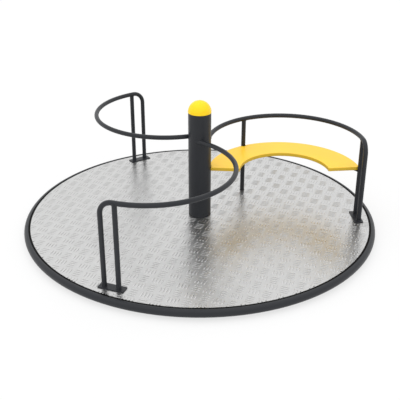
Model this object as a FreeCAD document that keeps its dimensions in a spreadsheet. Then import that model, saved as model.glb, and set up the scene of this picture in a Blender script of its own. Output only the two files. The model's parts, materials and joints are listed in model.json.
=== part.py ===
import FreeCAD, Part
import math
import os
import re

import Sketcher

# Playground merry-go-round: a turning platform with a central column, three bent handrails and a
# curved seat, on a spindle that is bolted to the ground. Millimetres, +Z up, origin on the ground
# in the middle of the base plate.

SIZES = {
    # platform
    "rim_radius": 1000.0,
    "rim_tube_radius": 21.2,
    "rim_wall": 3.0,
    "deck_thickness": 3.0,
    "deck_recess": 1.0,
    "deck_edge_gap": 2.0,
    "deck_column_gap": 1.0,
    "arm_count": 8,
    "arm_first_angle": 34.3,
    "arm_width": 40.0,
    "arm_height": 30.0,
    "arm_wall": 2.5,
    "hub_clearance": 5.4,
    "hub_flange_radius": 150.0,
    "hub_flange_thickness": 6.0,
    "ledge_width": 17.5,
    "ledge_thickness": 4.0,
    "tie_place": 0.52,
    "tie_width": 40.0,
    "tie_thickness": 6.0,
    # column and cap
    "column_radius": 63.5,
    "column_wall": 4.0,
    "column_height": 616.0,
    "cap_overhang": 1.0,
    "cap_skirt": 2.0,
    "cap_wall": 3.0,
    "cap_plug_depth": 22.0,
    "cap_fit_gap": 0.3,
    # handrails
    "rail_tube_radius": 12.7,
    "rail_wall": 2.0,
    "rail_height": 465.0,
    "rail_edge_inset": 58.6,
    "rail_start_inset": 1.0,
    "rail_end_angle": 9.5,
    "rail_bend_radius": 66.0,
    "rail_leg_angle": 11.1,
    "rail_angle_1": -120.75,
    "rail_angle_2": -6.21,
    "rail_angle_3": 114.18,
    "foot_length": 140.0,
    "foot_width": 50.0,
    "foot_thickness": 5.0,
    "foot_corner": 4.0,
    "foot_shift": 5.0,
    "backing_thickness": 4.0,
    # seat
    "seat_height": 295.5,
    "seat_thickness": 20.0,
    "seat_edge_inset": 1.0,
    "seat_depth": 177.0,
    "seat_first_angle": 12.0,
    "seat_last_angle": 181.5,
    "seat_leg_angle": 126.0,
    "seat_gap": 1.0,
    "bracket_width": 26.0,
    "bracket_thickness": 5.0,
    "bracket_reach": 68.0,
    "bracket_screw_spacing": 20.0,
    "column_bracket_angle": 18.0,
    "column_bracket_reach": 108.0,
    "end_bracket_angle": 125.0,
    "insert_radius": 5.5,
    "insert_depth": 10.0,
    # fixings
    "deck_stud_radius": 4.0,
    "deck_stud_inner": 300.0,
    "deck_stud_edge": 164.4,
    "deck_nut_height": 6.5,
    "deck_nut_flats": 13.0,
    "foot_stud_radius": 5.0,
    "foot_stud_edge": 14.0,
    "foot_nut_height": 8.0,
    "foot_nut_flats": 17.0,
    "stud_spare": 0.6,
    "screw_radius": 4.0,
    "screw_head_radius": 7.0,
    "screw_head_height": 4.4,
    "hole_gap": 0.5,
    "thread_gap": 0.02,
    "washer_thickness": 1.6,
    # base and spindle
    "base_radius": 190.0,
    "base_thickness": 12.0,
    "anchor_circle_radius": 160.0,
    "anchor_hole_radius": 7.0,
    "anchor_count": 6,
    "spindle_spigot_radius": 25.0,
    "spindle_flange_radius": 44.0,
    "spindle_flange_thickness": 8.0,
    "spindle_shoulder": 4.0,
    # bearings, housings and seal
    "lower_bearing_rise": 20.0,
    "lower_bore_radius": 30.0,
    "lower_outer_radius": 47.5,
    "lower_bearing_width": 18.0,
    "lower_ball_radius": 5.5,
    "lower_ball_count": 14,
    "upper_bearing_drop": 75.4,
    "upper_bore_radius": 20.0,
    "upper_outer_radius": 40.0,
    "upper_bearing_width": 18.0,
    "upper_ball_radius": 6.0,
    "upper_ball_count": 9,
    "ball_gap": 0.05,
    "race_gap": 1.5,
    "cage_width": 8.0,
    "cage_thickness": 2.4,
    "housing_shoulder": 4.0,
    "housing_lip": 10.0,
    "housing_skirt": 14.0,
    "circlip_thickness": 1.75,
    "circlip_depth": 1.5,
    "circlip_height": 4.5,
    "circlip_opening": 12.0,
    "circlip_gap": 0.1,
    "seal_thickness": 7.0,
    "seal_gap": 0.3,
    "seal_setback": 0.5,
    "locknut_radius": 29.0,
    "locknut_height": 10.0,
    "locknut_slot_depth": 3.0,
    "locknut_slot_width": 7.0,
    "locknut_slot_count": 4,
    "lockwasher_radius": 28.0,
    "lockwasher_thickness": 1.5,
    "spindle_thread_spare": 4.0,
}

# Levels and places that follow from the sizes above.
DERIVED = {
    "rim_centre_radius": "rim_radius - rim_tube_radius",
    "flange_bottom": "base_thickness + hub_clearance",
    "arm_bottom": "flange_bottom + hub_flange_thickness",
    "deck_bottom": "arm_bottom + arm_height",
    "deck_top": "deck_bottom + deck_thickness",
    "rim_centre_z": "deck_top + deck_recess - rim_tube_radius",
    "deck_radius": "rim_centre_radius - sqrt(rim_tube_radius ^ 2"
                   " - (rim_tube_radius - deck_recess - deck_thickness) ^ 2) - deck_edge_gap",
    "ledge_radius": "deck_radius - ledge_width",
    "tie_radius": "tie_place * rim_radius",
    "deck_stud_outer": "deck_radius - deck_stud_edge",
    "column_top": "deck_top + column_height",
    "column_inner_radius": "column_radius - column_wall",
    "rail_z": "deck_top + rail_height",
    "leg_top": "rail_z - rail_tube_radius / 3",
    "foot_top": "deck_top + foot_thickness",
    "rail_start_offset": "column_radius - rail_tube_radius - rail_start_inset",
    "rail_arc_radius": "(deck_radius - rail_edge_inset - rail_start_offset) / 2",
    "arc_centre": "rail_start_offset + rail_arc_radius",
    "seat_outer_radius": "rail_arc_radius - seat_edge_inset",
    "seat_inner_radius": "seat_outer_radius - seat_depth",
    "seat_top": "deck_top + seat_height",
    "seat_bottom": "seat_top - seat_thickness",
    "cap_radius": "column_radius + cap_overhang",
    "lower_bearing_z": "spindle_flange_top + lower_bearing_rise",
    "lower_bearing_top": "lower_bearing_z + lower_bearing_width",
    "upper_bearing_z": "column_top - upper_bearing_drop",
    "lower_shoulder_radius": "lower_bore_radius + spindle_shoulder",
    "upper_shoulder_radius": "upper_bore_radius + spindle_shoulder",
    "spindle_flange_top": "base_thickness + spindle_flange_thickness",
    "circlip_z": "lower_bearing_z - circlip_thickness - circlip_gap",
    "seal_z": "circlip_z - seal_setback - seal_thickness",
    "lower_housing_bottom": "lower_bearing_z - housing_skirt",
    "lower_housing_top": "lower_bearing_top + housing_lip",
    "lockwasher_z": "upper_bearing_z + upper_bearing_width",
    "locknut_z": "lockwasher_z + lockwasher_thickness",
    "spindle_top": "locknut_z + locknut_height + spindle_thread_spare",
}

ORIGIN = FreeCAD.Vector(0, 0, 0)
UP = FreeCAD.Vector(0, 0, 1)

document = FreeCAD.newDocument("merry_go_round")
sheet = document.addObject("Spreadsheet::Sheet", "Dimensions")
for row, (alias, value) in enumerate(SIZES.items(), start=1):
    sheet.set("A%d" % row, alias)
    sheet.set("B%d" % row, str(value))
    sheet.setAlias("B%d" % row, alias)
document.recompute()

parts = []


def expand(text):
    """Turn words into sheet references, going through the derived places."""
    def replace(match):
        word = match.group(0)
        if word in SIZES:
            return "Dimensions." + word
        if word in DERIVED:
            return "(" + expand(DERIVED[word]) + ")"
        return word
    return re.sub(r"[a-z][a-z_0-9]*", replace, text)


def size(text):
    """Value of an expression in sizes, read from the sheet."""
    return float(sheet.evalExpression(expand(text)))


def bind(item, name, text):
    item.setExpression(name, expand(text))


def keep(item, label):
    """Name a finished sub-part and put it on the list that is written out."""
    item.Label = label
    parts.append(item)
    return item


def shape_part(label, shape, placement=None):
    item = document.addObject("Part::Feature", label)
    item.Shape = shape
    item.Placement = placement or FreeCAD.Placement()
    return keep(item, label)


def turn(angle):
    return FreeCAD.Placement(ORIGIN, FreeCAD.Rotation(UP, angle))


def cylinder(name, radius, bottom, height):
    item = document.addObject("Part::Cylinder", name)
    bind(item, "Radius", radius)
    bind(item, "Height", height)
    bind(item, "Placement.Base.z", bottom)
    return item


def ring(label, outer, inner, bottom, height):
    """Plain ring about the turning axis, from two bound cylinders."""
    cut = document.addObject("Part::Cut", label)
    cut.Base = cylinder(label + "_outside", outer, bottom, height)
    cut.Tool = cylinder(label + "_bore", inner, bottom, height)
    return keep(cut, label)


def body_plane(body, role):
    for feature in body.Origin.OriginFeatures:
        if feature.Role == role:
            return feature
    raise ValueError(role)


def new_sketch(body, name, role):
    sketch = body.newObject("Sketcher::SketchObject", name)
    sketch.AttachmentSupport = [(body_plane(body, role), "")]
    sketch.MapMode = "FlatFace"
    return sketch


def turned(label, corners):
    """Body of revolution about Z from (radius, height) expressions, one per corner."""
    body = document.addObject("PartDesign::Body", label)
    sketch = new_sketch(body, label + "_profile", "XZ_Plane")
    points = [FreeCAD.Vector(size(radius), size(level), 0) for radius, level in corners]
    for index, point in enumerate(points):
        sketch.addGeometry(Part.LineSegment(point, points[(index + 1) % len(points)]), False)
    for index in range(len(points)):
        sketch.addConstraint(
            Sketcher.Constraint("Coincident", index, 2, (index + 1) % len(points), 1))
    for index, corner in enumerate(corners):
        for kind, text, axis in (("DistanceX", corner[0], -2), ("DistanceY", corner[1], -1)):
            if text == "0":
                sketch.addConstraint(Sketcher.Constraint("PointOnObject", index, 1, axis))
                continue
            number = sketch.addConstraint(
                Sketcher.Constraint(kind, -1, 1, index, 1, size(text)))
            sketch.setExpression("Constraints[%d]" % number, expand(text))
    revolution = body.newObject("PartDesign::Revolution", label + "_turned")
    revolution.Profile = sketch
    revolution.ReferenceAxis = (sketch, ["V_Axis"])
    revolution.Angle = 360.0
    return keep(body, label)


def tube(outer, inner, bottom, top, place=ORIGIN):
    """Vertical tube shape; the sizes are numbers."""
    base = place + FreeCAD.Vector(0, 0, bottom)
    outside = Part.makeCylinder(outer, top - bottom, base)
    return outside.cut(Part.makeCylinder(inner, top - bottom, base))


def rod(radius, bottom, top, place=ORIGIN):
    return Part.makeCylinder(radius, top - bottom, place + FreeCAD.Vector(0, 0, bottom))


def hexagon(across_flats, bottom, top, place, bore):
    """Nut shape with its bore."""
    corner = across_flats / math.sqrt(3)
    points = []
    for step in range(7):
        angle = math.radians(60 * step)
        corner_point = FreeCAD.Vector(corner * math.cos(angle), corner * math.sin(angle), bottom)
        points.append(place + corner_point)
    solid = Part.Face(Part.makePolygon(points)).extrude(UP * (top - bottom))
    return solid.cut(rod(bore, bottom, top, place))


def polar(radius, angle, centre=ORIGIN):
    turned_by = math.radians(angle)
    return centre + FreeCAD.Vector(radius * math.cos(turned_by), radius * math.sin(turned_by), 0)


def rim_solid():
    return Part.makeTorus(size("rim_centre_radius"), size("rim_tube_radius"),
                          FreeCAD.Vector(0, 0, size("rim_centre_z")))


# ---- ground base -------------------------------------------------------------------------

def make_base_plate():
    body = document.addObject("PartDesign::Body", "base_plate")
    outline = new_sketch(body, "base_outline", "XY_Plane")
    for text in ("base_radius", "spindle_spigot_radius"):
        index = outline.addGeometry(Part.Circle(ORIGIN, UP, size(text)), False)
        outline.addConstraint(Sketcher.Constraint("Coincident", index, 3, -1, 1))
        number = outline.addConstraint(Sketcher.Constraint("Radius", index, size(text)))
        outline.setExpression("Constraints[%d]" % number, expand(text))
    pad = body.newObject("PartDesign::Pad", "base_pad")
    pad.Profile = outline
    bind(pad, "Length", "base_thickness")
    document.recompute()
    solid_volume = body.Shape.Volume
    hole = new_sketch(body, "anchor_hole", "XY_Plane")
    centre = FreeCAD.Vector(size("anchor_circle_radius"), 0, 0)
    hole.addGeometry(Part.Circle(centre, UP, size("anchor_hole_radius")), False)
    hole.addConstraint(Sketcher.Constraint("PointOnObject", 0, 3, -1))
    number = hole.addConstraint(
        Sketcher.Constraint("DistanceX", -1, 1, 0, 3, size("anchor_circle_radius")))
    hole.setExpression("Constraints[%d]" % number, expand("anchor_circle_radius"))
    number = hole.addConstraint(Sketcher.Constraint("Radius", 0, size("anchor_hole_radius")))
    hole.setExpression("Constraints[%d]" % number, expand("anchor_hole_radius"))
    pocket = body.newObject("PartDesign::Pocket", "anchor_pocket")
    pocket.Profile = hole
    pocket.Type = "ThroughAll"
    pocket.Reversed = True
    holes = body.newObject("PartDesign::PolarPattern", "anchor_holes")
    holes.Originals = [pocket]
    holes.Axis = (hole, ["N_Axis"])
    holes.Angle = 360.0
    bind(holes, "Occurrences", "anchor_count")
    body.Tip = holes
    document.recompute()
    removed = solid_volume - body.Shape.Volume
    expected = (size("anchor_count") * math.pi * size("anchor_hole_radius") ** 2
                * size("base_thickness"))
    if abs(removed - expected) > 1.0:
        raise ValueError("anchor holes are not cut")
    keep(body, "base_plate")


def make_spindle():
    turned("spindle", [
        ("0", "0"),
        ("spindle_spigot_radius", "0"),
        ("spindle_spigot_radius", "base_thickness"),
        ("spindle_flange_radius", "base_thickness"),
        ("spindle_flange_radius", "spindle_flange_top"),
        ("lower_shoulder_radius", "spindle_flange_top"),
        ("lower_shoulder_radius", "lower_bearing_z"),
        ("lower_bore_radius", "lower_bearing_z"),
        ("lower_bore_radius", "upper_bearing_z - upper_bearing_width"),
        ("upper_shoulder_radius", "upper_bearing_z - upper_bearing_width"),
        ("upper_shoulder_radius", "upper_bearing_z"),
        ("upper_bore_radius", "upper_bearing_z"),
        ("upper_bore_radius", "spindle_top"),
        ("0", "spindle_top"),
    ])
    ring("spindle_lock_washer", "lockwasher_radius", "upper_bore_radius + thread_gap",
         "lockwasher_z", "lockwasher_thickness")
    make_locknut()


def make_locknut():
    """Round nut with spanner slots in its side."""
    bottom = size("locknut_z")
    top = bottom + size("locknut_height")
    nut = tube(size("locknut_radius"), size("upper_bore_radius + thread_gap"), bottom, top)
    depth = size("locknut_slot_depth")
    width = size("locknut_slot_width")
    count = int(size("locknut_slot_count"))
    for step in range(count):
        corner = FreeCAD.Vector(size("locknut_radius") - depth, -width / 2, bottom)
        slot = Part.makeBox(2 * depth, width, top - bottom, corner)
        slot.rotate(ORIGIN, UP, 360.0 * step / count)
        nut = nut.cut(slot)
    shape_part("spindle_locknut", nut)


# ---- bearings ----------------------------------------------------------------------------

def make_bearing(name):
    """Deep groove ball bearing: two races, a set of balls and their cage."""
    bottom = size(name + "_bearing_z")
    width = size(name + "_bearing_width")
    bore = size(name + "_bore_radius")
    outer = size(name + "_outer_radius")
    ball = size(name + "_ball_radius")
    count = int(size(name + "_ball_count"))
    pitch = (bore + outer) / 2
    half_gap = size("cage_thickness") / 2 + size("race_gap")
    middle = FreeCAD.Vector(0, 0, bottom + width / 2)
    groove = Part.makeTorus(pitch, ball + size("ball_gap"), middle)
    inner_race = tube(pitch - half_gap, bore, bottom, bottom + width)
    outer_race = tube(outer, pitch + half_gap, bottom, bottom + width)
    shape_part(name + "_inner_race", inner_race.cut(groove))
    shape_part(name + "_outer_race", outer_race.cut(groove))
    half_cage = size("cage_thickness") / 2
    cage = tube(pitch + half_cage, pitch - half_cage,
                middle.z - size("cage_width"), middle.z + size("cage_width"))
    balls = []
    for step in range(count):
        angle = 360.0 * step / count
        balls.append(Part.makeSphere(ball, polar(pitch, angle, middle)))
        pocket = Part.makeCylinder(ball + size("ball_gap"), outer, middle, polar(1.0, angle))
        cage = cage.cut(pocket)
    shape_part(name + "_bearing_balls", Part.makeCompound(balls))
    shape_part(name + "_bearing_cage", cage)


def make_housings():
    turned("lower_bearing_housing", [
        ("lower_outer_radius", "lower_housing_bottom"),
        ("column_inner_radius", "lower_housing_bottom"),
        ("column_inner_radius", "lower_housing_top"),
        ("lower_outer_radius - housing_shoulder", "lower_housing_top"),
        ("lower_outer_radius - housing_shoulder", "lower_bearing_top"),
        ("lower_outer_radius", "lower_bearing_top"),
        ("lower_outer_radius", "circlip_z + circlip_thickness"),
        ("lower_outer_radius + circlip_depth", "circlip_z + circlip_thickness"),
        ("lower_outer_radius + circlip_depth", "circlip_z"),
        ("lower_outer_radius", "circlip_z"),
    ])
    ring("upper_bearing_housing", "column_inner_radius", "upper_outer_radius",
         "upper_bearing_z - housing_lip / 2", "upper_bearing_width + housing_lip")
    make_circlip()
    ring("shaft_seal", "lower_outer_radius", "lower_shoulder_radius + seal_gap",
         "seal_z", "seal_thickness")


def make_circlip():
    """Snap ring under the lower bearing, open over a short gap."""
    bottom = size("circlip_z")
    top = bottom + size("circlip_thickness")
    outer = size("lower_outer_radius + circlip_depth")
    opening = size("circlip_opening")
    clip = tube(outer, outer - size("circlip_height"), bottom, top)
    gap = Part.makeBox(outer, opening, top - bottom, FreeCAD.Vector(0, -opening / 2, bottom))
    shape_part("bearing_circlip", clip.cut(gap))


# ---- platform frame ----------------------------------------------------------------------

def arm_angles():
    count = int(size("arm_count"))
    return [size("arm_first_angle") + 360.0 * step / count for step in range(count)]


def arm_block(inset=0.0):
    """One arm along X as a solid bar, less a wall thickness all round when inset."""
    width = size("arm_width") - 2 * inset
    height = size("arm_height") - 2 * inset
    return Part.makeBox(size("rim_centre_radius"), width, height,
                        FreeCAD.Vector(0, -width / 2, size("arm_bottom") + inset))


def stud_radii():
    return (size("deck_stud_inner"), size("deck_stud_outer"))


def make_arms():
    arm = arm_block().cut(arm_block(size("arm_wall")))
    arm = arm.cut(rim_solid())
    arm = arm.cut(rod(size("column_radius"), size("arm_bottom"), size("deck_bottom")))
    for radius in stud_radii():
        hole = rod(size("deck_stud_radius + hole_gap"), size("arm_bottom"), size("deck_bottom"),
                   FreeCAD.Vector(radius, 0, 0))
        arm = arm.cut(hole)
    for number, angle in enumerate(arm_angles(), start=1):
        shape_part("arm_%d" % number, arm, turn(angle))


def all_arm_blocks():
    blocks = []
    for angle in arm_angles():
        block = arm_block()
        block.rotate(ORIGIN, UP, angle)
        blocks.append(block)
    return blocks


def make_ties():
    """Flat bars that join neighbouring arms under the deck."""
    angles = arm_angles()
    half_step = 180.0 / len(angles)
    length = 2 * size("tie_radius") * math.tan(math.radians(half_step))
    bars = []
    for angle in angles:
        bar = Part.makeBox(size("tie_width"), length, size("tie_thickness"),
                           FreeCAD.Vector(size("tie_radius - tie_width / 2"), -length / 2,
                                          size("deck_bottom - tie_thickness")))
        bar.rotate(ORIGIN, UP, angle + half_step)
        pieces = bar.cut(all_arm_blocks()).Solids
        bars.append(max(pieces, key=lambda piece: piece.Volume))
    shape_part("arm_ties", Part.makeCompound(bars))


def make_ledge():
    """Flat ring inside the rim that carries the deck's edge, in lengths between the arms."""
    strip = tube(size("rim_centre_radius"), size("ledge_radius"),
                 size("deck_bottom - ledge_thickness"), size("deck_bottom"))
    strip = strip.cut([rim_solid()] + all_arm_blocks())
    shape_part("deck_ledge", Part.makeCompound(strip.Solids))


def make_rim():
    rim = document.addObject("Part::Cut", "rim_tube")
    skins = (("rim_outside", "rim_tube_radius"), ("rim_inside", "rim_tube_radius - rim_wall"))
    for name, text in skins:
        torus = document.addObject("Part::Torus", name)
        bind(torus, "Radius1", "rim_centre_radius")
        bind(torus, "Radius2", text)
        bind(torus, "Placement.Base.z", "rim_centre_z")
    rim.Base = document.getObject("rim_outside")
    rim.Tool = document.getObject("rim_inside")
    keep(rim, "rim_tube")


def deck_stud_places():
    places = []
    for angle in arm_angles():
        for radius in stud_radii():
            places.append(polar(radius, angle))
    return places


def stud_set(prefix, places, radius, across_flats, nut_height, top, seat):
    """Studs that hang from a face, each with a washer and a nut against the seat level."""
    washer_bottom = seat - size("washer_thickness")
    nut_bottom = washer_bottom - nut_height
    bore = radius + size("thread_gap")
    stud_bottom = nut_bottom - size("stud_spare")
    studs = [rod(radius, stud_bottom, top, place) for place in places]
    washers = [tube(2 * radius, bore, washer_bottom, seat, place) for place in places]
    nuts = [hexagon(across_flats, nut_bottom, washer_bottom, place, bore) for place in places]
    shape_part(prefix + "_studs", Part.makeCompound(studs))
    shape_part(prefix + "_washers", Part.makeCompound(washers))
    shape_part(prefix + "_nuts", Part.makeCompound(nuts))


def make_deck():
    """Round deck sheet with the column hole and the holes of the rail feet."""
    body = document.addObject("PartDesign::Body", "deck_plate")
    outline = new_sketch(body, "deck_outline", "XY_Plane")
    for text in ("deck_radius", "column_radius + deck_column_gap"):
        index = outline.addGeometry(Part.Circle(ORIGIN, UP, size(text)), False)
        outline.addConstraint(Sketcher.Constraint("Coincident", index, 3, -1, 1))
        number = outline.addConstraint(Sketcher.Constraint("Radius", index, size(text)))
        outline.setExpression("Constraints[%d]" % number, expand(text))
    for place in foot_stud_places() + [seat_leg_place()]:
        index = outline.addGeometry(
            Part.Circle(place, UP, size("foot_stud_radius + hole_gap")), False)
        outline.addConstraint(Sketcher.Constraint("Block", index))
    pad = body.newObject("PartDesign::Pad", "deck_pad")
    pad.Profile = outline
    bind(pad, "Length", "deck_thickness")
    bind(body, "Placement.Base.z", "deck_bottom")
    keep(body, "deck_plate")


# ---- column ------------------------------------------------------------------------------

def make_column():
    ring("column_tube", "column_radius", "column_inner_radius", "flange_bottom",
         "column_top - (flange_bottom)")
    ring("hub_flange", "hub_flange_radius", "column_radius", "flange_bottom", "hub_flange_thickness")


def make_cap():
    """Hollow dome with a short skirt over the tube's end and a plug collar inside it."""
    body_radius = size("cap_radius")
    wall = size("cap_wall")
    base = size("column_top")
    dome_z = base + size("cap_skirt")
    dome_centre = FreeCAD.Vector(0, 0, dome_z)
    upper_half = rod(2 * body_radius, dome_z, dome_z + 2 * body_radius)
    shell = Part.makeSphere(body_radius, dome_centre).common(upper_half)
    shell = shell.fuse(rod(body_radius, base, dome_z)).removeSplitter()
    hollow_radius = size("column_inner_radius - cap_fit_gap") - wall
    hollow = Part.makeSphere(hollow_radius, dome_centre).common(upper_half)
    hollow = hollow.fuse(rod(hollow_radius, base, dome_z)).removeSplitter()
    collar_bottom = base - size("cap_plug_depth")
    collar = tube(hollow_radius + wall, hollow_radius, collar_bottom, base)
    shape_part("column_cap", shell.cut(hollow).fuse(collar).removeSplitter())


# ---- handrails ---------------------------------------------------------------------------

def arc_centre():
    return FreeCAD.Vector(size("arc_centre"), 0, 0)


def arc_point(angle):
    return polar(size("rail_arc_radius"), angle, arc_centre())


def rail_pipe(radius):
    """Solid bent bar along the rail: level arc, bend down, straight leg. Lies along X."""
    level = FreeCAD.Vector(0, 0, size("rail_z"))
    end_angle = size("rail_end_angle")
    start = arc_point(180.0) + level
    section = Part.Face(Part.Wire(Part.makeCircle(radius, start, FreeCAD.Vector(0, 1, 0))))
    arc = section.revolve(arc_centre() + level, -UP, 180.0 - end_angle)
    bend_start = arc_point(end_angle) + level
    forward = polar(1.0, end_angle - 90.0)
    side = polar(1.0, end_angle)
    section = Part.Face(Part.Wire(Part.makeCircle(radius, bend_start, forward)))
    bend_centre = bend_start - UP * size("rail_bend_radius")
    bend = section.revolve(bend_centre, side, 90.0)
    if bend.CenterOfMass.z > bend_start.z:
        raise ValueError("rail bend turns the wrong way")
    leg = rod(radius, size("foot_top"), bend_centre.z, outer_leg_place())
    return arc.fuse([bend, leg]).removeSplitter()


def outer_leg_place():
    """Foot of the rail's own bent leg, in the rail's frame."""
    forward = polar(1.0, size("rail_end_angle") - 90.0)
    return arc_point(size("rail_end_angle")) + forward * size("rail_bend_radius")


def inner_leg_place():
    return arc_point(size("rail_leg_angle"))


def foot_placement():
    """Middle and direction of the plate under a pair of legs, in the rail's frame."""
    outer = outer_leg_place()
    inner = inner_leg_place()
    along = math.degrees(math.atan2(inner.y - outer.y, inner.x - outer.x))
    middle = (outer + inner) * 0.5 - FreeCAD.Vector(size("foot_shift"), 0, 0)
    return FreeCAD.Placement(middle, FreeCAD.Rotation(UP, along))


def rail_angles():
    return [size("rail_angle_%d" % number) for number in (1, 2, 3)]


def foot_stud_offsets():
    reach = size("foot_length / 2 - foot_stud_edge")
    return [FreeCAD.Vector(-reach, 0, 0), FreeCAD.Vector(reach, 0, 0)]


def foot_stud_places():
    places = []
    for angle in rail_angles():
        placement = turn(angle).multiply(foot_placement())
        for offset in foot_stud_offsets():
            places.append(placement.multVec(offset))
    return places


def make_handrails():
    outside = rail_pipe(size("rail_tube_radius"))
    inside = rail_pipe(size("rail_tube_radius - rail_wall"))
    post = rod(size("column_radius"), 0, size("column_top"))
    rail = outside.cut([inside, post])
    leg = tube(size("rail_tube_radius"), size("rail_tube_radius - rail_wall"),
               size("foot_top"), size("leg_top"), inner_leg_place())
    leg = leg.cut(outside)
    leg = max(leg.Solids, key=lambda piece: piece.Volume)
    for number, angle in enumerate(rail_angles(), start=1):
        shape_part("handrail_%d" % number, rail, turn(angle))
        shape_part("rail_leg_%d" % number, leg, turn(angle))
        make_foot(number, angle)


def rounded_plate(body, name, length, width, corner):
    """Sketch of a rounded rectangle about the body's origin, bound to its sizes."""
    sketch = new_sketch(body, name, "XY_Plane")
    half_length = size(length) / 2
    half_width = size(width) / 2
    radius = size(corner)
    corners = [(1, 1), (-1, 1), (-1, -1), (1, -1)]
    for index, (across, up) in enumerate(corners):
        centre = FreeCAD.Vector(across * (half_length - radius), up * (half_width - radius), 0)
        start = math.radians(90 * index)
        arc = Part.ArcOfCircle(Part.Circle(centre, UP, radius), start, start + math.pi / 2)
        sketch.addGeometry(arc, False)
    for index in range(4):
        start = sketch.Geometry[index].EndPoint
        end = sketch.Geometry[(index + 1) % 4].StartPoint
        sketch.addGeometry(Part.LineSegment(start, end), False)
    for index in range(4):
        line = 4 + index
        sketch.addConstraint(Sketcher.Constraint("Tangent", index, 2, line, 1))
        sketch.addConstraint(Sketcher.Constraint("Tangent", line, 2, (index + 1) % 4, 1))
        sketch.addConstraint(
            Sketcher.Constraint("Horizontal" if index % 2 == 0 else "Vertical", line))
    for index in (1, 2, 3):
        sketch.addConstraint(Sketcher.Constraint("Equal", 0, index))
    sketch.addConstraint(Sketcher.Constraint("Symmetric", 0, 3, 2, 3, -1, 1))
    for kind, first, second, text in (("DistanceX", 1, 0, length), ("DistanceY", 3, 0, width)):
        text = "%s - 2 * %s" % (text, corner)
        number = sketch.addConstraint(Sketcher.Constraint(kind, first, 3, second, 3, size(text)))
        sketch.setExpression("Constraints[%d]" % number, expand(text))
    number = sketch.addConstraint(Sketcher.Constraint("Radius", 0, radius))
    sketch.setExpression("Constraints[%d]" % number, expand(corner))
    return sketch


def make_foot(number, angle):
    placement = turn(angle).multiply(foot_placement())
    plates = (("foot_plate", "deck_top", "foot_thickness"),
              ("foot_backing_plate", "deck_bottom - backing_thickness", "backing_thickness"))
    for label, bottom, thickness in plates:
        body = document.addObject("PartDesign::Body", "%s_%d" % (label, number))
        outline = rounded_plate(body, "%s_outline_%d" % (label, number),
                                "foot_length", "foot_width", "foot_corner")
        if label == "foot_backing_plate":
            for offset in foot_stud_offsets():
                index = outline.addGeometry(
                    Part.Circle(offset, UP, size("foot_stud_radius + hole_gap")), False)
                outline.addConstraint(Sketcher.Constraint("Block", index))
        pad = body.newObject("PartDesign::Pad", "%s_pad_%d" % (label, number))
        pad.Profile = outline
        bind(pad, "Length", thickness)
        body.Placement = FreeCAD.Placement(placement.Base + UP * size(bottom), placement.Rotation)
        keep(body, "%s_%d" % (label, number))


# ---- seat --------------------------------------------------------------------------------

def seat_rail_turn():
    return turn(size("rail_angle_2"))


def seat_leg_local():
    return arc_point(size("seat_leg_angle"))


def seat_leg_place():
    return seat_rail_turn().multVec(seat_leg_local())


def bracket_runs():
    """Post middle, post radius, direction and reach of each seat bracket, in the rail's frame."""
    leg_radius = size("rail_tube_radius")
    leg_reach = size("rail_tube_radius + bracket_reach")
    return (
        ("seat_bracket_column", ORIGIN, size("column_radius"),
         size("column_bracket_angle"), size("column_radius + column_bracket_reach")),
        ("seat_bracket_middle", seat_leg_local(), leg_radius,
         size("seat_leg_angle") + 180.0, leg_reach),
        ("seat_bracket_end", inner_leg_place(), leg_radius,
         size("rail_leg_angle + end_bracket_angle"), leg_reach),
    )


def bracket_screw_places():
    """Two screws in each bracket, in the rail's frame."""
    places = []
    edge = size("bracket_width") / 2
    for _, post, _, angle, reach in bracket_runs():
        places.append(polar(reach - edge, angle, post))
        places.append(polar(reach - edge - size("bracket_screw_spacing"), angle, post))
    return places


def make_seat():
    """Curved seat board under the second rail, let in round the legs and the column."""
    bottom = size("seat_bottom")
    top = size("seat_top")
    first = size("seat_first_angle")
    sweep = size("seat_last_angle") - first
    height = top - bottom
    base = arc_centre() + UP * bottom
    sector = Part.makeCylinder(size("seat_outer_radius"), height, base, UP, sweep)
    sector.rotate(base, UP, first)
    board = sector.cut(Part.makeCylinder(size("seat_inner_radius"), height, base))
    gap = size("seat_gap")
    leg_radius = size("rail_tube_radius")
    for post in (inner_leg_place(), seat_leg_local(), outer_leg_place()):
        board = board.cut(rod(leg_radius + gap, bottom, top, post))
    board = board.cut(rod(size("column_radius") + gap, bottom, top))
    board = max(board.Solids, key=lambda piece: piece.Volume)
    screws = bracket_screw_places()
    radius = size("insert_radius")
    insert_top = bottom + size("insert_depth")
    pockets = [rod(radius, bottom, insert_top, place) for place in screws]
    shape_part("seat_board", board.cut(pockets), seat_rail_turn())
    bore = size("screw_radius + thread_gap")
    inserts = [tube(radius, bore, bottom, insert_top, place) for place in screws]
    shape_part("seat_inserts", Part.makeCompound(inserts), seat_rail_turn())


def make_brackets():
    top = size("seat_bottom")
    bottom = top - size("bracket_thickness")
    width = size("bracket_width")
    hole = size("screw_radius + hole_gap")
    for label, post, post_radius, angle, reach in bracket_runs():
        bar = Part.makeBox(reach, width, top - bottom, FreeCAD.Vector(0, -width / 2, bottom))
        upright = [edge for edge in bar.Edges if edge.BoundBox.ZLength > width / 10]
        bar = bar.makeFillet(width / 4, [edge for edge in upright if edge.BoundBox.XMin > reach / 2])
        bar.rotate(ORIGIN, UP, angle)
        bar.translate(post)
        bar = bar.cut(rod(post_radius, bottom, top, post))
        bar = bar.cut([rod(hole, bottom, top, place) for place in bracket_screw_places()])
        shape_part(label, max(bar.Solids, key=lambda piece: piece.Volume), seat_rail_turn())
    screws = []
    head_radius = size("screw_head_radius")
    for place in bracket_screw_places():
        shank = rod(size("screw_radius"), bottom, top + size("insert_depth"), place)
        head = rod(head_radius, bottom - size("screw_head_height"), bottom, place)
        screws.append(shank.fuse(head).removeSplitter())
    shape_part("seat_screws", Part.makeCompound(screws), seat_rail_turn())


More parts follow.
